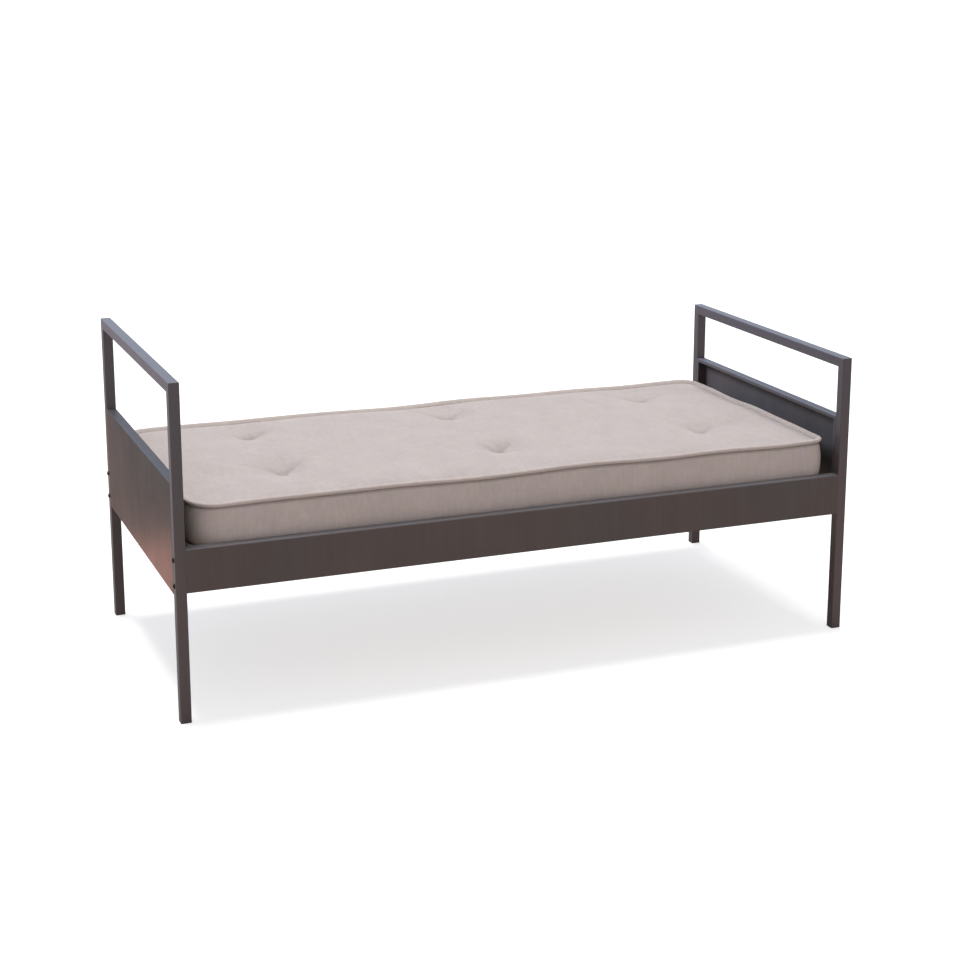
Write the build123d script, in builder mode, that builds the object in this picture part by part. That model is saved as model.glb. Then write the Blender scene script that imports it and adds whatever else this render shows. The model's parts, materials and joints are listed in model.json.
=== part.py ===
"""A knock-down steel daybed with a loose tufted mattress.

Two welded end frames of square tube carry a folded sheet panel each. The head end is the taller one.
Two folded side rails bolt between the end frames, and the slats rest on ledges welded along the inside
of the rails.

Origin: on the floor, under the middle of the bed. X runs from the head to the foot, Y from front to
back, Z up. All lengths are in millimetres.
"""

import os

from build123d import *

os.makedirs("parts", exist_ok=True)

# Overall size
length = 2060
width = 950
head_height = 945
foot_height = 850

# Square tube of the end frames
tube = 30
tube_wall = 1.5
tube_corner = 2.5

# Sheet panels of the end frames
panel_top = 667
panel_bottom = 358
panel_sheet = 1.5
panel_lip = 10
panel_bend = 2.2

# Folded side rails
rail_top = 490
rail_bottom = 367
rail_sheet = 2
rail_bend = 4
rail_setback = 1

# End plates, bolts and nuts that hold the rails
plate_thickness = 4
plate_corner = 3
bolt_diameter = 8
bolt_length = 45
bolt_hole = 8.8
bolt_heights = (388, 460)
bolt_head_diameter = 14
bolt_head_height = 4.4
bolt_head_edge = 0.6
bolt_socket = 5
bolt_socket_depth = 2.6
nut_width = 13
nut_height = 6.5
nut_bore = 8.2

# Ledges along the inside of the rails
ledge_sheet = 2.5
ledge_drop = 2
ledge_top = 443.5
ledge_reach = 30

# Slats
slat_count = 14
slat_pitch = 145
slat_width = 70
slat_thickness = 14.5
slat_length = 880
slat_round = 2

# Screws that hold the slats to the ledges
screw_diameter = 4
screw_clearance = 4.4
screw_length = 13
screw_head_diameter = 8
screw_head_height = 2.4
screw_recess_length = 4.4
screw_recess_width = 1
screw_recess_depth = 1.2

# Plastic glides in the feet
glide_cap = 3.5
glide_edge = 1
glide_plug = 26.2
glide_plug_height = 16
glide_wall = 2
glide_corner = 1.5
glide_fin = 26.8
glide_fin_height = 1.2
glide_fin_levels = (4, 9)

# Mattress
mattress_length = 1950
mattress_width = 880
mattress_thickness = 140
mattress_corner = 45
mattress_edge = 10
mattress_gap = 0.3

# Worked out from the above
end_x = (length - tube) / 2
post_y = (width - tube) / 2
inner_y = width / 2 - tube
rail_length = length - 2 * tube
rail_height = rail_top - rail_bottom
rail_middle = (rail_top + rail_bottom) / 2
rail_depth = tube - rail_setback
rail_face_y = -width / 2 + rail_setback
slat_top = ledge_top + slat_thickness
screw_y = inner_y - ledge_sheet - (ledge_reach - ledge_sheet) / 2
slat_positions = [slat_pitch * (index - (slat_count - 1) / 2) for index in range(slat_count)]
bolt_seats = [
    Plane(origin=(end * length / 2, side * post_y, height), x_dir=(0, 1, 0), z_dir=(end, 0, 0))
    for end in (-1, 1)
    for side in (-1, 1)
    for height in bolt_heights
]
screw_seats = [
    Plane(origin=(position, side * screw_y, ledge_top - ledge_sheet), z_dir=(0, 0, -1))
    for position in slat_positions
    for side in (-1, 1)
]


def write(name, piece):
    """Labels one finished piece and writes its STEP file."""
    piece.part.label = name
    export_step(piece.part, f"parts/{name}.step")


def tube_section():
    """The hollow section of the square tube, added to the sketch that is open."""
    RectangleRounded(tube, tube, tube_corner)
    inside = tube - 2 * tube_wall
    RectangleRounded(inside, inside, tube_corner - tube_wall, mode=Mode.SUBTRACT)


def mitre_plane(height, side):
    """The 45 degree joint between a post and the top bar. Its positive side is the bar's."""
    return Plane(origin=(0, side * width / 2, height), x_dir=(1, 0, 0), z_dir=(0, -side, 1))


def make_end_frame(end_name, end, height):
    """One end frame: two posts, the top bar and the panel. end is -1 at the head and 1 at the foot."""
    with BuildPart() as front_post:
        with BuildSketch(Plane.XY.offset(glide_cap)):
            with Locations((end * end_x, -post_y)):
                tube_section()
        extrude(amount=height - glide_cap)
        split(bisect_by=mitre_plane(height, -1), keep=Keep.BOTTOM)
        seats = [
            Plane(origin=(end * end_x + tube / 2, -post_y, bolt_height), z_dir=(1, 0, 0))
            for bolt_height in bolt_heights
        ]
        with BuildSketch(*seats):
            Circle(bolt_hole / 2)
        extrude(amount=-tube, mode=Mode.SUBTRACT)
    write(f"{end_name}_front_post", front_post)

    with BuildPart() as back_post:
        mirror(front_post.part, about=Plane.XZ)
    write(f"{end_name}_back_post", back_post)

    with BuildPart() as top_bar:
        with BuildSketch(Plane.XZ):
            with Locations((end * end_x, height - tube / 2)):
                tube_section()
        extrude(amount=width / 2, both=True)
        for side in (-1, 1):
            split(bisect_by=mitre_plane(height, side), keep=Keep.TOP)
    write(f"{end_name}_top_bar", top_bar)

    outer_x = end * length / 2
    panel_width = width - 2 * tube
    panel_height = panel_top - panel_bottom
    panel_middle = (panel_top + panel_bottom) / 2
    with BuildPart() as panel:
        with BuildSketch(Plane.YZ.offset(outer_x)):
            with Locations((0, panel_middle)):
                Rectangle(panel_width, panel_height)
        extrude(amount=-end * tube)
        bends = panel.edges().filter_by(Axis.Y).group_by(Axis.Z)
        fillet(bends[0] + bends[-1], radius=panel_bend)
        with BuildSketch(Plane.YZ.offset(outer_x - end * panel_sheet)):
            with Locations((0, panel_middle)):
                Rectangle(panel_width - 2 * panel_sheet, panel_height - 2 * panel_sheet)
        extrude(amount=-end * (tube - 2 * panel_sheet), mode=Mode.SUBTRACT)
        with BuildSketch(Plane.YZ.offset(outer_x - end * (tube - panel_sheet))):
            with Locations((0, panel_middle)):
                Rectangle(panel_width - 2 * panel_lip, panel_height - 2 * panel_lip)
        extrude(amount=-end * panel_sheet, mode=Mode.SUBTRACT)
    write(f"{end_name}_panel", panel)


def make_glide(name, x, y):
    """One foot glide: a cap under the tube and a ribbed hollow plug inside it."""
    with BuildPart() as glide:
        with BuildSketch():
            with Locations((x, y)):
                RectangleRounded(tube, tube, tube_corner)
        extrude(amount=glide_cap)
        fillet(glide.edges().group_by(Axis.Z)[0], radius=glide_edge)
        with BuildSketch(Plane.XY.offset(glide_cap)):
            with Locations((x, y)):
                RectangleRounded(glide_plug, glide_plug, glide_corner)
        extrude(amount=glide_plug_height)
        for level in glide_fin_levels:
            with BuildSketch(Plane.XY.offset(glide_cap + level)):
                with Locations((x, y)):
                    RectangleRounded(glide_fin, glide_fin, glide_corner)
            extrude(amount=glide_fin_height)
        with BuildSketch(Plane.XY.offset(glide_cap)):
            with Locations((x, y)):
                Rectangle(glide_plug - 2 * glide_wall, glide_plug - 2 * glide_wall)
        extrude(amount=glide_plug_height, mode=Mode.SUBTRACT)
    write(name, glide)


make_end_frame("head", -1, head_height)
make_end_frame("foot", 1, foot_height)

for end_name, end in (("head", -1), ("foot", 1)):
    for side_name, side in (("front", -1), ("back", 1)):
        make_glide(f"{end_name}_{side_name}_glide", end * end_x, side * post_y)

# Side rails: a folded channel, open towards the inside of the bed
with BuildPart() as front_rail:
    with BuildSketch(Plane.YZ.offset(-rail_length / 2)) as channel:
        with Locations((rail_face_y + rail_depth / 2, rail_middle)):
            Rectangle(rail_depth, rail_height)
        fillet(channel.vertices().group_by(Axis.X)[0], radius=rail_bend)
        with Locations((rail_face_y + rail_sheet + rail_depth, rail_middle)):
            inside_height = rail_height - 2 * rail_sheet
            RectangleRounded(2 * rail_depth, inside_height, rail_bend - rail_sheet, mode=Mode.SUBTRACT)
    extrude(amount=rail_length)
write("front_rail", front_rail)

with BuildPart() as back_rail:
    mirror(front_rail.part, about=Plane.XZ)
write("back_rail", back_rail)

# End plates: welded inside both ends of a rail, drilled for the side bolts
plate_depth = rail_depth - rail_sheet
plate_height = rail_height - 2 * rail_sheet
plate_y = rail_face_y + rail_sheet + plate_depth / 2
with BuildPart() as front_rail_end_plates:
    for end in (-1, 1):
        with BuildSketch(Plane.YZ.offset(end * rail_length / 2)):
            with Locations((plate_y, rail_middle)):
                RectangleRounded(plate_depth, plate_height, plate_corner)
            with Locations(*[(-post_y, height) for height in bolt_heights]):
                Circle(bolt_hole / 2, mode=Mode.SUBTRACT)
        extrude(amount=-end * plate_thickness)
write("front_rail_end_plates", front_rail_end_plates)

with BuildPart() as back_rail_end_plates:
    mirror(front_rail_end_plates.part, about=Plane.XZ)
write("back_rail_end_plates", back_rail_end_plates)

# Weld nuts: behind the end plates, one for each side bolt
with BuildPart() as weld_nuts:
    with BuildSketch(*[seat.offset(-tube - plate_thickness) for seat in bolt_seats]):
        RegularPolygon(radius=nut_width / 2, side_count=6, major_radius=False)
        Circle(nut_bore / 2, mode=Mode.SUBTRACT)
    extrude(amount=-nut_height)
write("weld_nuts", weld_nuts)

# Side bolts: button heads on the outer faces of the posts, shanks along X into the weld nuts
with BuildPart() as side_bolts:
    with BuildSketch(*bolt_seats):
        Circle(bolt_diameter / 2)
    extrude(amount=-bolt_length)
    with BuildSketch(*bolt_seats):
        Circle(bolt_head_diameter / 2)
    extrude(amount=bolt_head_height)
    rims = side_bolts.edges().filter_by(GeomType.CIRCLE).group_by(Axis.X)
    fillet(rims[0] + rims[-1], radius=bolt_head_height - bolt_head_edge)
    with BuildSketch(*[seat.offset(bolt_head_height) for seat in bolt_seats]):
        RegularPolygon(radius=bolt_socket / 2, side_count=6, major_radius=False)
    extrude(amount=-bolt_socket_depth, mode=Mode.SUBTRACT)
write("side_bolts", side_bolts)

# Ledges: an angle welded to the tip of the rail's top flange, which carries the slat ends
with BuildPart() as front_ledge:
    with BuildSketch(Plane.YZ.offset(-rail_length / 2 + plate_thickness)):
        with BuildLine():
            Polyline(
                (-inner_y, rail_top - ledge_drop),
                (-inner_y, ledge_top - ledge_sheet),
                (-inner_y + ledge_reach, ledge_top - ledge_sheet),
                (-inner_y + ledge_reach, ledge_top),
                (-inner_y + ledge_sheet, ledge_top),
                (-inner_y + ledge_sheet, rail_top - ledge_drop),
                close=True,
            )
        make_face()
    extrude(amount=rail_length - 2 * plate_thickness)
    with BuildSketch(Plane.XY.offset(ledge_top)):
        with Locations(*[(position, -screw_y) for position in slat_positions]):
            Circle(screw_clearance / 2)
    extrude(amount=-ledge_sheet, mode=Mode.SUBTRACT)
write("front_ledge", front_ledge)

with BuildPart() as back_ledge:
    mirror(front_ledge.part, about=Plane.XZ)
write("back_ledge", back_ledge)

# Slats: across the bed, with blind pilot holes for the screws
for number, position in enumerate(slat_positions, start=1):
    with BuildPart() as slat:
        with BuildSketch(Plane.XZ.offset(-slat_length / 2)):
            with Locations((position, ledge_top + slat_thickness / 2)):
                RectangleRounded(slat_width, slat_thickness, slat_round)
        extrude(amount=slat_length)
        with BuildSketch(Plane.XY.offset(ledge_top)):
            with Locations((position, -screw_y), (position, screw_y)):
                Circle(screw_diameter / 2)
        extrude(amount=screw_length - ledge_sheet, mode=Mode.SUBTRACT)
    write(f"slat_{number:02d}", slat)

# Slat screws: pan heads under the ledges, shanks up into the slats
with BuildPart() as slat_screws:
    with BuildSketch(*screw_seats):
        Circle(screw_diameter / 2)
    extrude(amount=-screw_length)
    with BuildSketch(*screw_seats):
        Circle(screw_head_diameter / 2)
    extrude(amount=screw_head_height)
    head_rims = slat_screws.edges().filter_by(GeomType.CIRCLE).group_by(Axis.Z)[0]
    fillet(head_rims, radius=screw_head_height / 2)
    with BuildSketch(*[seat.offset(screw_head_height) for seat in screw_seats]):
        Rectangle(screw_recess_length, screw_recess_width)
        Rectangle(screw_recess_width, screw_recess_length)
    extrude(amount=-screw_recess_depth, mode=Mode.SUBTRACT)
write("slat_screws", slat_screws)

# Mattress: one soft block, lying loose on the slats between the rails
with BuildPart() as mattress:
    with BuildSketch(Plane.XY.offset(slat_top + mattress_gap)):
        RectangleRounded(mattress_length, mattress_width, mattress_corner)
    extrude(amount=mattress_thickness)
    faces = mattress.edges().group_by(Axis.Z)
    fillet(faces[0] + faces[-1], radius=mattress_edge)
write("mattress", mattress)
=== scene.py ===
"""A steel daybed with a tufted mattress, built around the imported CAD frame.

Lengths are in metres, in the CAD frame: X from the head to the foot, Y from front to back, Z up.
"""

import json
import math

import bpy
import numpy as np
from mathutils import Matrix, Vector


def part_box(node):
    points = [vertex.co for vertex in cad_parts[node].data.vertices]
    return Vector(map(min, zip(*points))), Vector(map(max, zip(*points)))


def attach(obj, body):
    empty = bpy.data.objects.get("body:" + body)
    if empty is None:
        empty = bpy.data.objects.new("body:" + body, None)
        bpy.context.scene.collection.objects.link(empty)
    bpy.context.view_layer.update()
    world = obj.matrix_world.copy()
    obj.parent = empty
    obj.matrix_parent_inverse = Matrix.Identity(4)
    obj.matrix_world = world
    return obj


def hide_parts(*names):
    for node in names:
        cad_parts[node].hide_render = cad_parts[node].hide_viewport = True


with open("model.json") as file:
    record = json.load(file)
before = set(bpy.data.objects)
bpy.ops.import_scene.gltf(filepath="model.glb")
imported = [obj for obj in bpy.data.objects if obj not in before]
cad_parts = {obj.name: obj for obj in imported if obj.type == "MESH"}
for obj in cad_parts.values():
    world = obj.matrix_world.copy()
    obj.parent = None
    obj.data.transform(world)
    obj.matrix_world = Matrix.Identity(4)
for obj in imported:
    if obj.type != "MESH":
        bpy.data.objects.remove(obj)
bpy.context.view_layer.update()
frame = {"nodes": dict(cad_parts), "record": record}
nodes = frame["nodes"]
scene = bpy.context.scene

# ---------------------------------------------------------------- camera
CAMERA_PLACE = (-2.019, -5.206, 2.038)
CAMERA_YAW = 0.3738
CAMERA_PITCH = 0.2343
CAMERA_LENS = 70.94
CAMERA_SHIFT_Y = -0.0833

camera_data = bpy.data.cameras.new("camera")
camera_data.lens = CAMERA_LENS
camera_data.sensor_width = 36
camera_data.shift_y = CAMERA_SHIFT_Y
camera_data.clip_end = 500
camera = bpy.data.objects.new("camera", camera_data)
camera.location = CAMERA_PLACE
camera.rotation_euler = (math.pi / 2 - CAMERA_PITCH, 0, -CAMERA_YAW)
scene.collection.objects.link(camera)
scene.camera = camera
scene.view_settings.view_transform = "Standard"


# ---------------------------------------------------------------- node trees
class Tree:
    """A material's node tree, with short calls for the nodes used here."""

    def __init__(self, name):
        self.material = bpy.data.materials.new(name)
        self.material.use_nodes = True
        self.tree = self.material.node_tree
        self.tree.nodes.clear()
        self.output = self.tree.nodes.new("ShaderNodeOutputMaterial")

    def node(self, kind, inputs=None, **settings):
        """Adds one node. A value that is a socket is linked, anything else is set."""
        made = self.tree.nodes.new("ShaderNode" + kind)
        for name, value in settings.items():
            setattr(made, name, value)
        for name, value in (inputs or {}).items():
            self.put(made.inputs[name], value)
        return made

    def put(self, socket, value):
        if isinstance(value, bpy.types.NodeSocket):
            self.tree.links.new(value, socket)
        else:
            socket.default_value = value

    def place(self, scale=(1, 1, 1), turn=(0, 0, 0)):
        """Object coordinates in metres, scaled and turned."""
        source = self.node("TexCoord").outputs["Object"]
        return self.node("Mapping", {"Vector": source, "Scale": scale, "Rotation": turn}).outputs[0]

    def uv(self, scale=(1, 1, 1)):
        """The cloth's own coordinates in metres, scaled."""
        source = self.node("UVMap", uv_map="cloth").outputs[0]
        return self.node("Mapping", {"Vector": source, "Scale": scale}).outputs[0]

    def noise(self, vector, scale=1.0, detail=2.0, rough=0.5, warp=0.0):
        inputs = {"Vector": vector, "Scale": scale, "Detail": detail, "Roughness": rough}
        return self.node("TexNoise", {**inputs, "Distortion": warp}).outputs["Fac"]

    def math(self, kind, a, b=0.0):
        made = self.node("Math", operation=kind)
        self.put(made.inputs[0], a)
        self.put(made.inputs[1], b)
        return made.outputs[0]

    def span(self, value, low, high, to_low, to_high):
        """Maps low..high to to_low..to_high, held at the ends."""
        made = self.node("MapRange", {"Value": value, "From Min": low, "From Max": high})
        self.put(made.inputs["To Min"], to_low)
        self.put(made.inputs["To Max"], to_high)
        return made.outputs[0]

    def mix(self, amount, a, b, blend="MIX"):
        made = self.node("Mix", data_type="RGBA", blend_type=blend)
        self.put(made.inputs[0], amount)
        self.put(made.inputs[6], a if isinstance(a, bpy.types.NodeSocket) else (*a, 1))
        self.put(made.inputs[7], b if isinstance(b, bpy.types.NodeSocket) else (*b, 1))
        return made.outputs[2]

    def tone(self, colour, amount):
        """A colour made lighter or darker by a factor."""
        made = self.node("VectorMath", operation="SCALE")
        self.put(made.inputs[0], colour)
        self.put(made.inputs["Scale"], amount)
        return made.outputs[0]

    def tinted(self, colour, tint):
        """A colour multiplied by another."""
        return self.mix(1.0, colour, tint, "MULTIPLY")

    def up(self, vector):
        """The Z of a vector."""
        return self.node("SeparateXYZ", {"Vector": vector}).outputs["Z"]

    def bump(self, height, depth, strength, normal=None):
        made = self.node("Bump", {"Height": height, "Distance": depth, "Strength": strength})
        if normal is not None:
            self.put(made.inputs["Normal"], normal)
        return made.outputs[0]

    def finish(self, **inputs):
        """Adds the shader. Names are the shader's sockets, with _ for a space."""
        shader = self.node("BsdfPrincipled")
        for name, value in inputs.items():
            self.put(shader.inputs[name.replace("_", " ")], value)
        self.tree.links.new(shader.outputs[0], self.output.inputs["Surface"])
        return self.material


# ---------------------------------------------------------------- looks
GREENISH = (0.93, 1.03, 0.96)
# Painted light: a cool tint for the upper part of the frame.
PAINTED_COOL_TOP_TINT = (0.95, 1.02, 1.20)
# Painted reflection: a bluish grey for faces that point up.
PAINTED_SKY_SHEEN_GREY = (0.150, 0.152, 0.172)
# Partly edge wear, partly a painted highlight: the lighter grey of the edges, and how wide they
# are.
EDGE_WEAR_AND_HIGHLIGHT_GREY = (0.25, 0.25, 0.27)
EDGE_WEAR_AND_HIGHLIGHT_WIDTH = 0.0012


def steel(name, grain, seed, gloss, warm, cool, unevenness):
    """Lacquered steel sheet: a dark satin coat over faintly brushed metal. Painted light: cooler
    towards the top, painted sky reflection on faces that point up, and edges partly worn, partly
    painted highlight.
    """
    t = Tree(name)
    streaks = t.noise(t.place(grain, (0, 0, seed)), 1.0, 4.0, 0.6)
    clouds = t.noise(t.place((1, 1, 1), (seed, 0, seed)), 3.4, 4.0, 0.55, 0.4)
    bands = t.noise(t.place(tuple(value * 0.22 for value in grain), (0, 0, seed)), 1.0, 3.0, 0.5)
    specks = t.noise(t.place(), 900.0, 1.0)
    colour = t.mix(t.span(clouds, 0.3, 0.7, 0.0, 1.0), warm, cool)
    colour = t.tone(colour, t.span(streaks, 0.25, 0.75, 0.94, 1.06))
    colour = t.tone(colour, t.span(bands, 0.3, 0.7, 1 - unevenness, 1 + unevenness))
    colour = t.mix(t.span(bands, 0.45, 0.7, 0.0, 0.4), colour, t.tinted(colour, GREENISH))
    # Painted light: the colour turns cooler and bluer towards the top of the frame, as if lit by a
    # cool sky above, and keeps its warmer tone low down near the floor.
    height = t.span(t.up(t.place()), 0.45, 0.85, 0.0, 1.0)
    colour = t.mix(height, colour, t.tinted(colour, PAINTED_COOL_TOP_TINT))
    # Painted reflection: whatever faces up is lightened, in patches, to a bluish grey that stands
    # in for the sky seen in its sheen.
    flat = t.node("NewGeometry").outputs["Normal"]
    patches = t.span(clouds, 0.3, 0.7, 0.75, 1.0)
    sky_sheen = t.math("MULTIPLY", t.span(t.up(flat), 0.6, 0.95, 0.0, 0.55), patches)
    colour = t.mix(sky_sheen, colour, PAINTED_SKY_SHEEN_GREY)
    # Edges are lightened in patches to a bluish grey: partly the coat rubbed off, partly a painted
    # highlight.
    rounded = t.node("Bevel", {"Radius": EDGE_WEAR_AND_HIGHLIGHT_WIDTH}, samples=4).outputs[0]
    facing = t.node("VectorMath", operation="DOT_PRODUCT")
    t.put(facing.inputs[0], rounded)
    t.put(facing.inputs[1], flat)
    edge = t.span(facing.outputs["Value"], 0.995, 0.93, 0.0, 1.0)
    patchy = t.span(t.noise(t.place(), 60.0, 3.0), 0.35, 0.7, 0.3, 0.9)
    colour = t.mix(t.math("MULTIPLY", edge, patchy), colour, EDGE_WEAR_AND_HIGHLIGHT_GREY)
    rough = t.span(clouds, 0.3, 0.7, 0.36, 0.45)
    rough = t.math("ADD", rough, t.span(streaks, 0.3, 0.7, -0.03, 0.03))
    normal = t.bump(specks, 0.00005, 0.5)
    normal = t.bump(streaks, 0.00012, 0.6, normal)
    return t.finish(
        Base_Color=colour,
        Metallic=0.15,
        Roughness=rough,
        Specular_IOR_Level=gloss,
        Normal=normal,
    )


def bolt_black():
    """Black oxide bolts, cloudy in tone and gloss."""
    t = Tree("bolt_black")
    cloud = t.noise(t.place(), 180.0, 3.0)
    colour = t.mix(t.span(cloud, 0.35, 0.7, 0.0, 1.0), (0.020, 0.017, 0.016), (0.045, 0.038, 0.036))
    rough = t.span(cloud, 0.3, 0.7, 0.34, 0.52)
    normal = t.bump(t.noise(t.place(), 1500.0, 2.0), 0.00004, 0.6)
    return t.finish(Base_Color=colour, Metallic=0.8, Roughness=rough, Normal=normal)


def zinc_steel():
    """Zinc plate, cloudy and slightly yellow."""
    t = Tree("zinc_steel")
    cloud = t.noise(t.place(), 220.0, 4.0, 0.6)
    colour = t.mix(t.span(cloud, 0.3, 0.7, 0.0, 1.0), (0.50, 0.50, 0.49), (0.62, 0.61, 0.58))
    rough = t.span(cloud, 0.3, 0.7, 0.28, 0.44)
    normal = t.bump(t.noise(t.place(), 1200.0, 2.0), 0.00004, 0.5)
    return t.finish(Base_Color=colour, Metallic=1.0, Roughness=rough, Normal=normal)


def slat_wood():
    """Planed pine slats: grain along Y, bent round faint knots, each slat in its own tone."""
    t = Tree("slat_wood")
    bend = t.noise(t.place((6, 1.2, 6)), 1.0, 3.0)
    rings = t.node(
        "TexWave",
        {
            "Vector": t.place((22, 1.1, 40)),
            "Scale": 1.3,
            "Distortion": 5.5,
            "Detail": 3.0,
            "Detail Scale": 1.4,
            "Phase Offset": t.math("MULTIPLY", bend, 9.0),
        },
        wave_type="BANDS",
        bands_direction="X",
    ).outputs["Fac"]
    fibre = t.noise(t.place((900, 14, 900)), 1.0, 3.0, 0.6)
    board = t.noise(t.place((6.9, 0.15, 0.1)), 1.0, 1.0)
    colour = t.mix(rings, (0.50, 0.33, 0.17), (0.64, 0.46, 0.27))
    colour = t.tone(colour, t.span(fibre, 0.3, 0.7, 0.86, 1.1))
    colour = t.tone(colour, t.span(board, 0.3, 0.7, 0.82, 1.08))
    normal = t.bump(fibre, 0.0001, 0.7)
    normal = t.bump(rings, 0.0001, 0.4, normal)
    rough = t.span(fibre, 0.3, 0.7, 0.46, 0.62)
    return t.finish(Base_Color=colour, Roughness=rough, Normal=normal)


def glide_plastic():
    """Moulded black plastic with a fine spark texture and scuffs."""
    t = Tree("glide_plastic")
    spark = t.noise(t.place(), 1400.0, 2.0)
    scuff = t.noise(t.place((1, 1, 0.3)), 140.0, 4.0, 0.65)
    scuffed = t.span(scuff, 0.45, 0.75, 0.0, 1.0)
    colour = t.mix(scuffed, (0.018, 0.017, 0.017), (0.05, 0.048, 0.047))
    rough = t.span(scuff, 0.3, 0.7, 0.5, 0.68)
    return t.finish(Base_Color=colour, Roughness=rough, Normal=t.bump(spark, 0.00008, 0.7))


THREAD = 0.0011
FABRIC_WARP = (0.511, 0.447, 0.417)
FABRIC_WEFT = (0.580, 0.512, 0.478)
ROSY = (1.0, 0.98, 1.01)
YELLOWISH = (1.0, 1.0, 0.95)


def fabric(name):
    """A linen-like plain weave with slubs, in the cloth's own coordinates."""
    t = Tree(name)
    weave = t.node("SeparateXYZ", {"Vector": t.uv((math.pi / THREAD,) * 3)})
    across = t.math("SINE", weave.outputs["X"])
    along = t.math("SINE", weave.outputs["Y"])
    over = t.math("MULTIPLY", across, along)
    threads = t.math("ABSOLUTE", over)
    warp_slub = t.noise(t.uv((24, 420, 1)), 1.0, 3.0, 0.6)
    weft_slub = t.noise(t.uv((300, 26, 1)), 1.0, 4.0, 0.6)
    long_slub = t.noise(t.uv((110, 9, 1)), 1.0, 3.0, 0.55)
    blotch = t.noise(t.uv((60, 40, 1)), 1.0, 3.0, 0.6, 0.3)
    clouds = t.noise(t.uv(), 9.0, 4.0, 0.6)
    hue = t.noise(t.uv((34, 20, 1)), 1.0, 3.0, 0.6)
    colour = t.mix(t.span(over, -0.25, 0.25, 0.0, 1.0), FABRIC_WARP, FABRIC_WEFT)
    colour = t.tone(colour, t.span(threads, 0.0, 1.0, 0.80, 1.08))
    # Each pattern: where it starts to count, and how much it lightens and darkens.
    patterns = (
        (warp_slub, 0.25, 0.045),
        (weft_slub, 0.25, 0.060),
        (long_slub, 0.30, 0.035),
        (blotch, 0.30, 0.035),
        (clouds, 0.30, 0.045),
    )
    for pattern, start, change in patterns:
        colour = t.tone(colour, t.span(pattern, start, 1 - start, 1 - change, 1 + change))
    rosy, yellowish = t.tinted(colour, ROSY), t.tinted(colour, YELLOWISH)
    colour = t.mix(t.span(hue, 0.35, 0.65, 0.0, 1.0), rosy, yellowish)
    normal = t.bump(t.math("ADD", warp_slub, weft_slub), 0.00016, 0.7)
    normal = t.bump(threads, 0.00022, 0.8, normal)
    return t.finish(
        Base_Color=colour,
        Roughness=0.93,
        Specular_IOR_Level=0.22,
        Sheen_Weight=0.22,
        Sheen_Roughness=0.5,
        Sheen_Tint=(1.0, 0.96, 0.94, 1),
        Normal=normal,
    )


WARM_STEEL = (0.082, 0.060, 0.054)
COOL_STEEL = (0.069, 0.057, 0.053)
WARM_TUBE = (0.094, 0.070, 0.066)
COOL_TUBE = (0.080, 0.067, 0.065)
WARM_PANEL = (0.094, 0.072, 0.063)
COOL_PANEL = (0.080, 0.072, 0.063)
LOOKS = {
    "frame_steel": steel("frame_steel", (220, 220, 9), 0.3, 0.55, WARM_TUBE, COOL_TUBE, 0.05),
    "panel_steel": steel("panel_steel", (9, 90, 5), 1.1, 0.05, WARM_PANEL, COOL_PANEL, 0.06),
    "rail_steel": steel("rail_steel", (90, 9, 5), 2.3, 0.55, WARM_STEEL, COOL_STEEL, 0.05),
    "bolt_black": bolt_black(),
    "zinc_steel": zinc_steel(),
    "slat_wood": slat_wood(),
    "glide_plastic": glide_plastic(),
    "mattress_fabric": fabric("mattress_fabric"),
}
for part in frame["record"]["subparts"]:
    for holder in nodes[part["node"]].material_slots:
        holder.material = LOOKS[part["material_slot"]]

# ---------------------------------------------------------------- mattress sizes
low, high = (Vector(corner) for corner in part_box("mattress"))

# The cord's radius, and the heights of the seams, the cords and the flat underside.
CORD = 0.0064
SEAM_INSET = 0.0145
SEAM_TOP = high.z - 0.0095
SEAM_BOTTOM = low.z + 0.0075
CORD_TOP = high.z - 0.0055
CORD_BOTTOM = low.z + 0.0067
UNDERSIDE = low.z + 0.0008
UNDERSIDE_ROUND = 0.012
HALF_X = high.x - SEAM_INSET
HALF_Y = high.y - SEAM_INSET
# The sewn corner radii, by the signs of x and y. The front corner at the head is the roundest.
CORNERS = {(-1, -1): 0.076, (1, -1): 0.030, (-1, 1): 0.036, (1, 1): 0.050}

# The cover's grid: its cell, and how much denser it is round the tufts and along the seams.
CELL = 0.0158
TUFT_COLUMNS = (-0.637, 0.021, 0.692)
TUFT_ROWS = (-0.163, 0.262)
DENSE_AT_TUFT = (1.0, 0.035)
DENSE_AT_SEAM = (0.8, 0.025)
SIDE_STEPS = (0.0, 0.03, 0.055, 0.08, 0.11, 0.16, 0.27, 0.42, 0.58, 0.74, 0.86, 0.94, 1.0)
UNDERSIDE_UV_SHIFT = 1.5
SEAM_CREASE = 0.8

# The simulation, and how far it may move the cover.
LAST_FRAME = 20
TIED_FRAME = 12
PRESSURE = 4
TUFT_DEPTH = 0.009
CROWN_CAP = 0.0140
CROWN_GAIN = 2.0
SIDEWAYS_CAP = 0.002
SIDE_CAP = 0.0022

# The border: a deep cleft at each seam, a bulge between them and a slow ripple.
SIDE_SHOULDER = 0.0080
SHOULDER_REACH = 0.0085
SIDE_BULGE = 0.0085
SIDE_RIPPLE = 0.0009

# The sewn edge and the cloth rise and fall a little. A reach is how far from the seam it fades.
EDGE_WAVE = 0.0038
EDGE_WAVE_REACH = 0.07
CLOTH_WAVE = 0.0012
CLOTH_WAVE_REACH = 0.02

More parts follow.
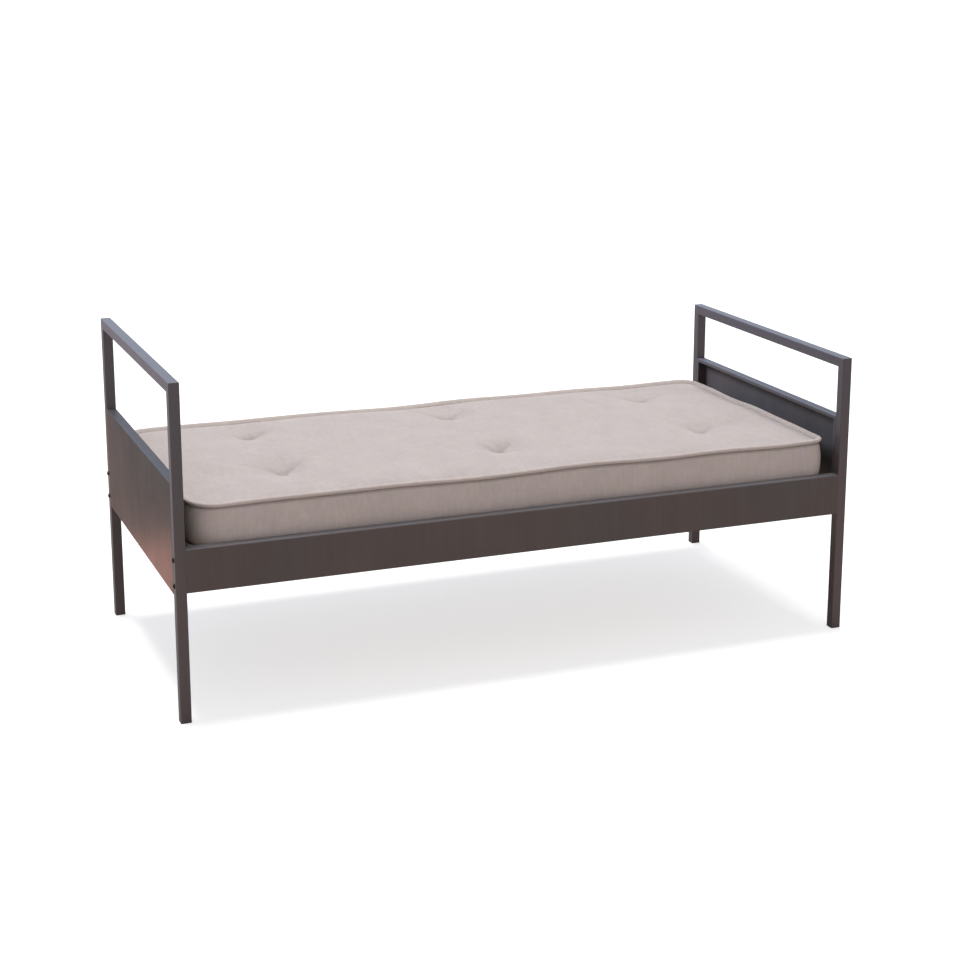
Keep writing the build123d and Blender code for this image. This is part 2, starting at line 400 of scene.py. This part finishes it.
# Tufts: (x, y, strength). Folds run out from each one: (direction in degrees, depth).
TUFTS = (
    (-0.642, -0.158, 0.92),
    (0.024, -0.158, 0.95),
    (0.692, -0.174, 0.62),
    (-0.632, 0.266, 0.92),
    (0.018, 0.266, 0.95),
    (0.692, 0.254, 0.75),
)
DIMPLE_DEPTH = 0.016
DIMPLE_REACH = 0.019
DIMPLE_SEARCH = 0.012
TUFT_FOLDS = (
    (146, 0.0072),
    (24, 0.0072),
    (200, 0.0028),
    (-36, 0.0028),
    (84, 0.0015),
    (-95, 0.0015),
)
FOLD_SWING = 10
FOLD_LENGTH = 0.072
FOLD_WIDTH = 0.0085
FOLD_WIDENING = 0.08
FOLD_START = 0.015

# Piping: points along and round the cord, its tail, and the lump where its ends join.
PIPING_SPACING = 0.005
PIPING_AROUND = 18
PIPING_CORNER = 0.004
PIPING_UNEVENNESS = 0.03
TAIL_REACH = 0.0045
JOIN_PLACE = (-0.90, 0.4345)
JOIN_LENGTH = 0.007
JOIN_SWELL = 0.12

# Tufting threads.
STRANDS = 4
STRAND_GAP = 0.0011
STRAND_HALF_LENGTH = 0.0055
STRAND_RADIUS = 0.0006
STRAND_LIFT = 0.0012
STRAND_DIVE = 0.0022
STRAND_SIDES = 8
STRAND_RINGS = 9

# ---------------------------------------------------------------- mattress
draw = np.random.default_rng(11)


def waves(count, shortest, longest):
    """A smooth random field over x and y: (wave numbers, phases, sizes)."""
    length = np.exp(draw.uniform(math.log(shortest), math.log(longest), count))
    turn = draw.uniform(0, 2 * math.pi, count)
    size = length / length.sum() * 1.6
    return 2 * math.pi * np.cos(turn) / length, 2 * math.pi * np.sin(turn) / length, turn * 3, size


def sway(field, x, y):
    """The value of a smooth random field."""
    kx, ky, phase, size = field
    return (np.sin(np.multiply.outer(x, kx) + np.multiply.outer(y, ky) + phase) * size).sum(-1)


edge_field = waves(9, 0.22, 0.7)
cloth_field = waves(26, 0.05, 0.22)
pull_field = waves(12, 0.07, 0.16)


def edge_lift(x, y):
    """The slow rise and fall of the sewn edge."""
    return EDGE_WAVE * sway(edge_field, x, y)


def fade(distance, reach):
    """Falls from 1 to 0 as a distance passes a reach, level at the start."""
    return np.exp(-((distance / reach) ** 2))


def grid_lines(half, centres):
    """Grid lines across one side, closer together at the tufts and the seams."""
    fine = np.linspace(-half, half, 4001)
    extra, reach = DENSE_AT_TUFT
    density = 1 + sum(extra * fade(fine - c, reach) for c in centres)
    extra, reach = DENSE_AT_SEAM
    density += extra * fade(half - np.abs(fine), reach)
    total = np.concatenate([[0], np.cumsum((density[1:] + density[:-1]) / 2)])
    count = round(total[-1] / (len(fine) - 1) * 2 * half / CELL)
    return np.interp(np.linspace(0, total[-1], count + 1), total, fine)


def corner_of(x, y):
    """The corner radius that applies in each point's quarter of the mattress."""
    front = np.where(x < 0, CORNERS[-1, -1], CORNERS[1, -1])
    back = np.where(x < 0, CORNERS[-1, 1], CORNERS[1, 1])
    return np.where(y < 0, front, back)


def round_off(x, y):
    """Moves the corners of a square grid onto the seam's rounded outline."""
    corner = corner_of(x, y)
    u = np.clip((np.abs(x) - (HALF_X - corner)) / corner, 0, 1)
    v = np.clip((np.abs(y) - (HALF_Y - corner)) / corner, 0, 1)
    inside = (u > 0) & (v > 0)
    out_x = np.where(inside, HALF_X - corner + corner * u * np.sqrt(1 - v * v / 2), np.abs(x))
    out_y = np.where(inside, HALF_Y - corner + corner * v * np.sqrt(1 - u * u / 2), np.abs(y))
    return np.sign(x) * out_x, np.sign(y) * out_y


def from_seam(x, y):
    """How far a point is inside the seam's outline."""
    corner = corner_of(x, y)
    qx = np.abs(x) - (HALF_X - corner)
    qy = np.abs(y) - (HALF_Y - corner)
    outside = np.hypot(np.maximum(qx, 0), np.maximum(qy, 0))
    return corner - outside - np.minimum(np.maximum(qx, qy), 0)


def outward(x, y):
    """Unit directions away from the mattress, for points of its border."""
    corner = corner_of(x, y)
    out_x = np.clip((np.abs(x) - (HALF_X - corner)) / corner, 0, 1) * np.sign(x)
    out_y = np.clip((np.abs(y) - (HALF_Y - corner)) / corner, 0, 1) * np.sign(y)
    out = np.stack([out_x, out_y], 1)
    return out / np.maximum(np.linalg.norm(out, axis=1, keepdims=True), 1e-9)


def make_cover_grid():
    """The closed cover: top, bottom and border, with coordinates along the cloth."""
    xs = grid_lines(HALF_X, TUFT_COLUMNS)
    ys = grid_lines(HALF_Y, TUFT_ROWS)
    gx, gy = round_off(*np.meshgrid(xs, ys, indexing="ij"))
    nx, ny = len(xs), len(ys)
    size = nx * ny
    index = np.arange(size).reshape(nx, ny)
    ring = np.concatenate([index[:, 0], index[-1, 1:], index[-2::-1, -1], index[0, -2:0:-1]])
    flat = np.stack([gx.ravel(), gy.ravel()], 1)
    ring_xy = flat[ring]
    step = np.linalg.norm(np.roll(ring_xy, -1, 0) - ring_xy, axis=1)
    along = np.concatenate([[0], np.cumsum(step)])
    points = [
        np.column_stack([flat, np.full(size, SEAM_TOP)]),
        np.column_stack([flat, np.full(size, SEAM_BOTTOM)]),
    ]
    rows = [ring]
    heights = [SEAM_TOP + (SEAM_BOTTOM - SEAM_TOP) * part for part in SIDE_STEPS]
    for number, height in enumerate(heights[1:-1]):
        points.append(np.column_stack([ring_xy, np.full(len(ring), height)]))
        rows.append(2 * size + number * len(ring) + np.arange(len(ring)))
    rows.append(ring + size)
    a, b = index[:-1, :-1].ravel(), index[1:, :-1].ravel()
    c, d = index[1:, 1:].ravel(), index[:-1, 1:].ravel()
    top = np.stack([a, b, c, d], 1)
    faces = [top, top[:, ::-1] + size]
    coordinates = [flat[top], flat[top[:, ::-1]] + (0, UNDERSIDE_UV_SHIFT)]
    for upper, lower, z_upper, z_lower in zip(rows, rows[1:], heights, heights[1:]):
        faces.append(np.stack([upper, lower, np.roll(lower, -1), np.roll(upper, -1)], 1))
        here, there = along[:-1], along[1:]
        z_up, z_low = np.full(len(here), z_upper), np.full(len(here), z_lower)
        corners = [(here, z_up), (here, z_low), (there, z_low), (there, z_up)]
        coordinates.append(np.stack([np.stack(pair, 1) for pair in corners], 1))
    return {
        "points": np.concatenate(points),
        "faces": np.concatenate(faces),
        "uv": np.concatenate(coordinates).reshape(-1, 2),
        "size": size,
        "ring": ring,
        "tufts": [int(np.hypot(flat[:, 0] - x, flat[:, 1] - y).argmin()) for x, y, _ in TUFTS],
    }


def make_mesh(name, points, faces, uv=None):
    mesh = bpy.data.meshes.new(name)
    mesh.from_pydata(points.tolist(), [], faces.tolist())
    if uv is not None:
        layer = mesh.uv_layers.new(name="cloth")
        layer.data.foreach_set("uv", np.asarray(uv, np.float32).ravel())
    mesh.polygons.foreach_set("use_smooth", np.ones(len(mesh.polygons), bool))
    mesh.update()
    return mesh


def make_object(name, mesh):
    made = bpy.data.objects.new(name, mesh)
    scene.collection.objects.link(made)
    return made


def read_points(mesh):
    points = np.empty(len(mesh.vertices) * 3, np.float32)
    mesh.vertices.foreach_get("co", points)
    return points.reshape(-1, 3).astype(float)


def read_share(mesh, name):
    """One number a point, stored on the mesh under a name."""
    values = np.empty(len(mesh.vertices), np.float32)
    mesh.attributes[name].data.foreach_get("value", values)
    return values


def evaluated(holder):
    """The object's mesh with its modifiers applied."""
    graph = bpy.context.evaluated_depsgraph_get()
    return bpy.data.meshes.new_from_object(holder.evaluated_get(graph))


def inflate(grid):
    """Blows up the cover with cloth simulation. Seams, tufts and the underside are held."""
    mesh = make_mesh("cover_simulation", grid["points"], grid["faces"])
    holder = make_object("cover_simulation", mesh)
    size = grid["size"]
    held = sorted(set(grid["ring"].tolist()) | set(grid["tufts"]) | set(range(size, 2 * size)))
    pins = holder.vertex_groups.new(name="pins")
    pins.add([int(i) for i in held], 1.0, "REPLACE")
    holder.shape_key_add(name="Basis")
    tied = holder.shape_key_add(name="tied")
    for i in grid["tufts"]:
        tied.data[i].co.z -= TUFT_DEPTH
    tied.value = 0
    tied.keyframe_insert("value", frame=1)
    tied.value = 1
    tied.keyframe_insert("value", frame=TIED_FRAME)
    cloth = holder.modifiers.new("cloth", "CLOTH")
    cloth.settings.quality = 5
    cloth.settings.mass = 0.3
    cloth.settings.tension_stiffness = 20
    cloth.settings.compression_stiffness = 20
    cloth.settings.shear_stiffness = 10
    cloth.settings.bending_stiffness = 1
    cloth.settings.air_damping = 2
    cloth.settings.use_pressure = True
    cloth.settings.uniform_pressure_force = PRESSURE
    cloth.settings.vertex_group_mass = "pins"
    cloth.settings.effector_weights.gravity = 0
    cloth.collision_settings.use_collision = False
    cloth.point_cache.frame_start = 1
    cloth.point_cache.frame_end = LAST_FRAME
    for number in range(1, LAST_FRAME + 1):
        scene.frame_set(number)
    points = read_points(evaluated(holder))
    scene.frame_set(1)
    bpy.data.objects.remove(holder)
    return points


def cap(move, most):
    """Limits a displacement smoothly."""
    return most * np.tanh(move / most)


def puff(grid):
    """The cover's points after the simulation, held to the limits above."""
    rest = grid["points"]
    size = grid["size"]
    move = inflate(grid) - rest
    top = move[:size]
    top[:, 2] = np.where(top[:, 2] > 0, cap(CROWN_GAIN * top[:, 2], CROWN_CAP), top[:, 2])
    top[:, :2] = cap(top[:, :2], SIDEWAYS_CAP)
    move[size : 2 * size, 2] = 0
    sides = move[2 * size :]
    sides[:] = cap(sides, SIDE_CAP)
    points = rest + move
    # The underside drops from its seam to lie flat on the slats.
    under = points[size : 2 * size]
    depth = from_seam(under[:, 0], under[:, 1])
    under[:, 2] -= (SEAM_BOTTOM - UNDERSIDE) * (1 - fade(depth, UNDERSIDE_ROUND))
    return points


def subdivide_cover(grid, points):
    """The cover's mesh, subdivided once with creased seams. It keeps two shares for each point.

    side_share runs from 1 at the top seam to 0 at the bottom one, and top_share is 1 on the top.
    """
    mesh = make_mesh("mattress_cover", points, grid["faces"], grid["uv"])
    rest, size, ring = grid["points"], grid["size"], grid["ring"]
    side_share = np.ones(len(points))
    side_share[size : 2 * size] = 0
    side_share[2 * size :] = np.repeat(1 - np.array(SIDE_STEPS[1:-1]), len(ring))
    top_share = np.zeros(len(points))
    top_share[:size] = 1
    for name, values in (("side_share", side_share), ("top_share", top_share)):
        stored = mesh.attributes.new(name, "FLOAT", "POINT")
        stored.data.foreach_set("value", values.astype(np.float32))
    seam = set(ring.tolist()) | set((ring + size).tolist())
    crease = mesh.attributes.new("crease_edge", "FLOAT", "EDGE")
    for edge in mesh.edges:
        a, b = edge.vertices
        on_ring = a in seam and b in seam and abs(rest[a, 2] - rest[b, 2]) < 1e-6
        crease.data[edge.index].value = SEAM_CREASE if on_ring else 0.0
    holder = make_object("cover_smoothing", mesh)
    smooth = holder.modifiers.new("smooth", "SUBSURF")
    smooth.levels = 1
    smooth.render_levels = 1
    smooth.uv_smooth = "PRESERVE_BOUNDARIES"
    final = evaluated(holder)
    bpy.data.objects.remove(holder)
    final.name = "mattress_cover"
    return final


def tuft_pull(dx, dy, strength):
    """How far one tuft draws the top down, with the folds that run out from it."""
    pull = DIMPLE_DEPTH * np.exp(-np.hypot(dx, dy) / DIMPLE_REACH)
    for degrees, fold_depth in TUFT_FOLDS:
        turn = math.radians(degrees + FOLD_SWING * draw.uniform(-1, 1))
        length = FOLD_LENGTH * draw.uniform(0.8, 1.25)
        out_along = np.maximum(dx * math.cos(turn) + dy * math.sin(turn), 0)
        beside = dy * math.cos(turn) - dx * math.sin(turn)
        width = FOLD_WIDTH + FOLD_WIDENING * out_along
        fold = np.exp(-((out_along / length) ** 1.5)) * fade(beside, width)
        pull += fold_depth * fold * np.clip(out_along / FOLD_START, 0, 1)
    return strength * pull


def make_cover():
    """The cover and its points: inflated, subdivided, tufted and shaped along its border."""
    grid = make_cover_grid()
    final = subdivide_cover(grid, puff(grid))
    points = read_points(final)
    share = read_share(final, "side_share")
    on_top = read_share(final, "top_share") > 0.5
    x, y = points[:, 0].copy(), points[:, 1].copy()
    depth = np.maximum(from_seam(x, y), 0)

    lift = edge_lift(x, y) * np.where(on_top, np.exp(-depth / EDGE_WAVE_REACH), share)
    cloth = CLOTH_WAVE * sway(cloth_field, x, y) * (1 - np.exp(-depth / CLOTH_WAVE_REACH))
    lift += np.where(on_top, cloth, 0)
    for tuft_x, tuft_y, strength in TUFTS:
        lift -= np.where(on_top, tuft_pull(x - tuft_x, y - tuft_y, strength), 0)
    points[:, 2] += lift

    middle = 4 * share * (1 - share)
    to_seam = np.minimum(share, 1 - share) * (SEAM_TOP - SEAM_BOTTOM)
    bulge = SIDE_RIPPLE * sway(pull_field, x, y) * middle
    bulge += SIDE_SHOULDER * (1 - np.exp(-((to_seam / SHOULDER_REACH) ** 3))) + SIDE_BULGE * middle
    points[:, :2] += outward(x, y) * np.where(on_top, 0, bulge)[:, None]
    final.vertices.foreach_set("co", points.astype(np.float32).ravel())
    final.polygons.foreach_set("use_smooth", np.ones(len(final.polygons), bool))
    for name in ("side_share", "top_share", "crease_edge"):
        if name in final.attributes:
            final.attributes.remove(final.attributes[name])
    final.update()
    return make_object("mattress_cover", final), points


def outline(half_x, half_y, extra, spacing):
    """Points and outward directions round a rounded rectangle, from the foot end's back corner."""
    turns = []
    for sign_x, sign_y, start in ((1, 1, 0), (-1, 1, 90), (-1, -1, 180), (1, -1, 270)):
        corner = CORNERS[sign_x, sign_y] + extra
        turns.append((sign_x * (half_x - corner), sign_y * (half_y - corner), start, corner))
    places = []
    for number, (cx, cy, start, corner) in enumerate(turns):
        steps = max(8, round(corner * math.pi / 2 / spacing))
        for k in range(steps + 1):
            a = math.radians(start + 90 * k / steps)
            ox, oy = math.cos(a), math.sin(a)
            places.append((cx + corner * ox, cy + corner * oy, ox, oy))
        nx, ny, _, next_corner = turns[(number + 1) % 4]
        a = math.radians(start + 90)
        ex, ey = cx + corner * math.cos(a), cy + corner * math.sin(a)
        fx, fy = nx + next_corner * math.cos(a), ny + next_corner * math.sin(a)
        steps = max(2, round(math.hypot(fx - ex, fy - ey) / spacing))
        for k in range(1, steps):
            px, py = ex + (fx - ex) * k / steps, ey + (fy - ey) * k / steps
            places.append((px, py, math.cos(a), math.sin(a)))
    return np.array(places)


def make_piping(name, height, seam, lift_share):
    """A corded edge: a soft round cord whose bias-cut cover runs on into the seam."""
    path = outline(high.x - CORD, high.y - CORD, PIPING_CORNER, PIPING_SPACING)
    x, y, ox, oy = path.T
    count, around = len(path), PIPING_AROUND
    step = np.hypot(np.roll(x, -1) - x, np.roll(y, -1) - y)
    along = np.concatenate([[0], np.cumsum(step)])
    join = np.hypot(x - JOIN_PLACE[0], y - JOIN_PLACE[1]).argmin()
    lump = JOIN_SWELL * fade(along[:-1] - along[join], JOIN_LENGTH)
    radius = CORD * (1 + PIPING_UNEVENNESS * sway(pull_field, x, y) + lump)
    z = height + lift_share * edge_lift(x, y)
    angle = np.arange(around) * 2 * math.pi / around
    # The cover's inner side narrows into a flat tail that reaches the seam.
    tail = np.clip((-np.cos(angle) - 0.6) / 0.4, 0, 1)
    reach = radius[:, None] * np.cos(angle) - TAIL_REACH * tail
    rise = radius[:, None] * np.sin(angle) * (1 - 0.7 * tail)
    points = np.empty((count, around, 3))
    points[:, :, 0] = x[:, None] + ox[:, None] * reach
    points[:, :, 1] = y[:, None] + oy[:, None] * reach
    points[:, :, 2] = z[:, None] + rise + (seam - height) * tail
    i, j = np.meshgrid(np.arange(count), np.arange(around), indexing="ij")
    i2, j2 = (i + 1) % count, (j + 1) % around
    quads = [i * around + j, i2 * around + j, i2 * around + j2, i * around + j2]
    faces = np.stack(quads, -1).reshape(-1, 4)
    girth = 2 * math.pi * CORD / around
    s, e = along[:-1][i], along[1:][i]
    a, b = j * girth, (j + 1) * girth
    uv = np.stack([np.stack(p, -1) for p in ((s, a), (e, a), (e, b), (s, b))], -2).reshape(-1, 2)
    bias = math.sqrt(0.5)
    uv = np.stack([(uv[:, 0] + uv[:, 1]) * bias, (uv[:, 1] - uv[:, 0]) * bias], 1)
    return make_object(name, make_mesh(name, points.reshape(-1, 3), faces, uv))


def add_strand(verts, faces, centre, turn, shift):
    """One thread that comes up at one side of a tuft, crosses it and goes down at the other."""
    tx, ty, base = centre
    ux, uy = math.cos(turn), math.sin(turn)
    start = len(verts)
    for k in range(STRAND_RINGS):
        part = k / (STRAND_RINGS - 1) * 2 - 1
        swell = STRAND_RADIUS * math.sqrt(max(1 - part**8, 0.02))
        cx = tx + ux * part * STRAND_HALF_LENGTH - uy * shift
        cy = ty + uy * part * STRAND_HALF_LENGTH + ux * shift
        cz = base + STRAND_LIFT - STRAND_DIVE * part**4
        for j in range(STRAND_SIDES):
            a = 2 * math.pi * j / STRAND_SIDES
            px, py = cx - uy * swell * math.cos(a), cy + ux * swell * math.cos(a)
            verts.append((px, py, cz + swell * math.sin(a)))
    for k in range(STRAND_RINGS - 1):
        here, there = start + k * STRAND_SIDES, start + (k + 1) * STRAND_SIDES
        for j in range(STRAND_SIDES):
            j2 = (j + 1) % STRAND_SIDES
            faces.append((here + j, here + j2, there + j2, there + j))
    last = start + (STRAND_RINGS - 1) * STRAND_SIDES
    faces.append(tuple(start + j for j in range(STRAND_SIDES))[::-1])
    faces.append(tuple(last + j for j in range(STRAND_SIDES)))


def make_threads(points):
    """The tufting threads: a few strands over the bottom of each dimple."""
    verts, faces = [], []
    for tx, ty, _ in TUFTS:
        near = np.hypot(points[:, 0] - tx, points[:, 1] - ty) < DIMPLE_SEARCH
        heights = points[near][:, 2]
        base = heights[heights > SEAM_TOP - 0.05].min()
        for strand in range(STRANDS):
            turn = 0.35 + 0.12 * strand + 2 * tx
            shift = (strand - (STRANDS - 1) / 2) * STRAND_GAP
            add_strand(verts, faces, (tx, ty, base), turn, shift)
    mesh = bpy.data.meshes.new("tuft_threads")
    mesh.from_pydata(verts, [], faces)
    layer = mesh.uv_layers.new(name="cloth")
    for loop in mesh.loops:
        x, y, _ = verts[loop.vertex_index]
        layer.data[loop.index].uv = (x, y)
    mesh.polygons.foreach_set("use_smooth", np.ones(len(mesh.polygons), bool))
    mesh.update()
    return make_object("tuft_threads", mesh)


cover, cover_points = make_cover()
pipings = [
    make_piping("mattress_piping_top", CORD_TOP, SEAM_TOP, 1.0),
    make_piping("mattress_piping_bottom", CORD_BOTTOM, SEAM_BOTTOM, 0.0),
]
threads = make_threads(cover_points)
for piece in (cover, *pipings, threads):
    piece.data.materials.append(LOOKS["mattress_fabric"])
    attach(piece, "mattress")
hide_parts("mattress")

# ---------------------------------------------------------------- floor
FLOOR_HALF = 60.0
FLOOR_SEEN = (0.61, 0.60, 0.58, 1)
FLOOR_BOUNCE = (0.50, 0.43, 0.40, 1)
FLOOR_GLOW = 0.60


def floor_look():
    """A pale floor. The camera sees it with a weak glow added, and the bed gets a warmer bounce."""
    t = Tree("studio_floor")
    seen = t.node("AddShader")
    t.put(seen.inputs[0], t.node("BsdfDiffuse", {"Color": FLOOR_SEEN}).outputs[0])
    glow = t.node("Emission", {"Color": (1, 1, 1, 1), "Strength": FLOOR_GLOW})
    t.put(seen.inputs[1], glow.outputs[0])
    choose = t.node("MixShader", {"Fac": t.node("LightPath").outputs["Is Camera Ray"]})
    t.put(choose.inputs[1], t.node("BsdfDiffuse", {"Color": FLOOR_BOUNCE}).outputs[0])
    t.put(choose.inputs[2], seen.outputs[0])
    t.put(t.output.inputs["Surface"], choose.outputs[0])
    return t.material


floor_signs = ((-1, -1), (1, -1), (1, 1), (-1, 1))
floor_corners = [(sign_x * FLOOR_HALF, sign_y * FLOOR_HALF, 0) for sign_x, sign_y in floor_signs]
floor_mesh = bpy.data.meshes.new("studio_floor")
floor_mesh.from_pydata(floor_corners, [], [(0, 1, 2, 3)])
floor = make_object("studio_floor", floor_mesh)
floor.data.materials.append(floor_look())

# ---------------------------------------------------------------- lights
SUN_ANGLE = math.radians(16)
SUN_WHITE = (1.0, 0.985, 0.975)
COOL_LIGHT = (0.66, 0.76, 1.0)
WARM_LIGHT = (1.0, 0.45, 0.35)


def link_to(light, receivers):
    """Lets a light reach only the given objects."""
    group = bpy.data.collections.new(light.name + "_lit")
    for receiver in receivers:
        group.objects.link(receiver)
    light.light_linking.receiver_collection = group


def add_sun(name, source, energy, receivers):
    """A soft sun shining from the given direction."""
    data = bpy.data.lights.new(name, "SUN")
    data.energy = energy
    data.angle = SUN_ANGLE
    data.color = SUN_WHITE
    sun = bpy.data.objects.new(name, data)
    sun.rotation_euler = Vector(source).to_track_quat("Z", "Y").to_euler()
    scene.collection.objects.link(sun)
    link_to(sun, receivers)


def add_card(name, place, target, size, energy, colour, names):
    """A card of soft light that reaches only the named parts."""
    data = bpy.data.lights.new(name, "AREA")
    data.shape = "RECTANGLE"
    data.size, data.size_y = size
    data.energy = energy
    data.color = colour
    card = bpy.data.objects.new(name, data)
    card.location = place
    card.rotation_euler = (Vector(target) - card.location).to_track_quat("-Z", "Y").to_euler()
    card.visible_camera = False
    scene.collection.objects.link(card)
    link_to(card, [nodes[node] for node in names])


hard_things = [floor] + [holder for name, holder in nodes.items() if name != "mattress"]
add_sun("overhead", (-0.05, 0.12, 1.0), 2.3, hard_things)
add_sun("mattress_sun", (0.16, 0.66, 1.0), 2.58, [cover, threads])
add_sun("piping_sun", (0.08, 0.20, 1.0), 2.75, pipings)
# The warm card lies on the floor, and the head panel's sheen reflects it low down.
add_card("warm_card", (-1.30, 0.67, 0.01), (-1.30, 0.67, 1.0), (0.50, 0.90), 3.7, WARM_LIGHT,
         ("head_panel",))
add_card("cool_panel_card", (-0.3, 1.0, 1.9), (1.03, 0.0, 0.6), (0.8, 0.8), 66.0, COOL_LIGHT,
         ("foot_panel",))
add_card("cool_foot_card", (-0.3, 1.0, 1.9), (1.03, 0.0, 0.7), (0.8, 0.8), 30.0, COOL_LIGHT,
         ("foot_front_post", "foot_back_post", "foot_top_bar"))
add_card("cool_head_card", (-3.2, 0.6, 1.8), (-1.03, 0.0, 0.8), (0.8, 0.8), 55.0, COOL_LIGHT,
         ("head_front_post", "head_back_post", "head_top_bar"))

# ---------------------------------------------------------------- sky
# Colours over one axis of the direction, from -1 to 1. The camera itself sees plain white.
SKY_ALONG_Y = (
    (-0.7, (0.92, 0.90, 0.91)),
    (-0.1, (0.50, 0.53, 0.58)),
    (0.3, (0.51, 0.56, 0.65)),
    (0.8, (0.76, 0.87, 1.06)),
)
SKY_ALONG_X = (
    (-0.85, (0.48, 0.50, 0.56)),
    (-0.25, (1.0, 1.0, 1.0)),
    (0.3, (1.0, 1.0, 1.0)),
    (0.85, (0.75, 0.74, 0.75)),
)
SEEN_SKY = 1.1

world = bpy.data.worlds.new("studio")
scene.world = world
world.use_nodes = True
sky = world.node_tree
sky.nodes.clear()


def sky_ramp(source, stops):
    """A colour ramp over one axis of the direction."""
    to_ramp = sky.nodes.new("ShaderNodeMapRange")
    to_ramp.inputs["From Min"].default_value = -1
    sky.links.new(source, to_ramp.inputs["Value"])
    ramp = sky.nodes.new("ShaderNodeValToRGB")
    while len(ramp.color_ramp.elements) < len(stops):
        ramp.color_ramp.elements.new(0.5)
    for element, (place, colour) in zip(ramp.color_ramp.elements, stops):
        element.position = (place + 1) / 2
        element.color = (*colour, 1)
    sky.links.new(to_ramp.outputs[0], ramp.inputs[0])
    return ramp.outputs[0]


direction = sky.nodes.new("ShaderNodeSeparateXYZ")
sky.links.new(sky.nodes.new("ShaderNodeTexCoord").outputs["Generated"], direction.inputs[0])
both = sky.nodes.new("ShaderNodeMix")
both.data_type = "RGBA"
both.blend_type = "MULTIPLY"
both.inputs[0].default_value = 1
sky.links.new(sky_ramp(direction.outputs["Y"], SKY_ALONG_Y), both.inputs[6])
sky.links.new(sky_ramp(direction.outputs["X"], SKY_ALONG_X), both.inputs[7])
lighting = sky.nodes.new("ShaderNodeBackground")
sky.links.new(both.outputs[2], lighting.inputs["Color"])
backdrop = sky.nodes.new("ShaderNodeBackground")
backdrop.inputs["Color"].default_value = (1, 1, 1, 1)
backdrop.inputs["Strength"].default_value = SEEN_SKY
choose_sky = sky.nodes.new("ShaderNodeMixShader")
sky.links.new(sky.nodes.new("ShaderNodeLightPath").outputs["Is Camera Ray"], choose_sky.inputs[0])
sky.links.new(lighting.outputs[0], choose_sky.inputs[1])
sky.links.new(backdrop.outputs[0], choose_sky.inputs[2])
world_out = sky.nodes.new("ShaderNodeOutputWorld")
sky.links.new(choose_sky.outputs[0], world_out.inputs["Surface"])
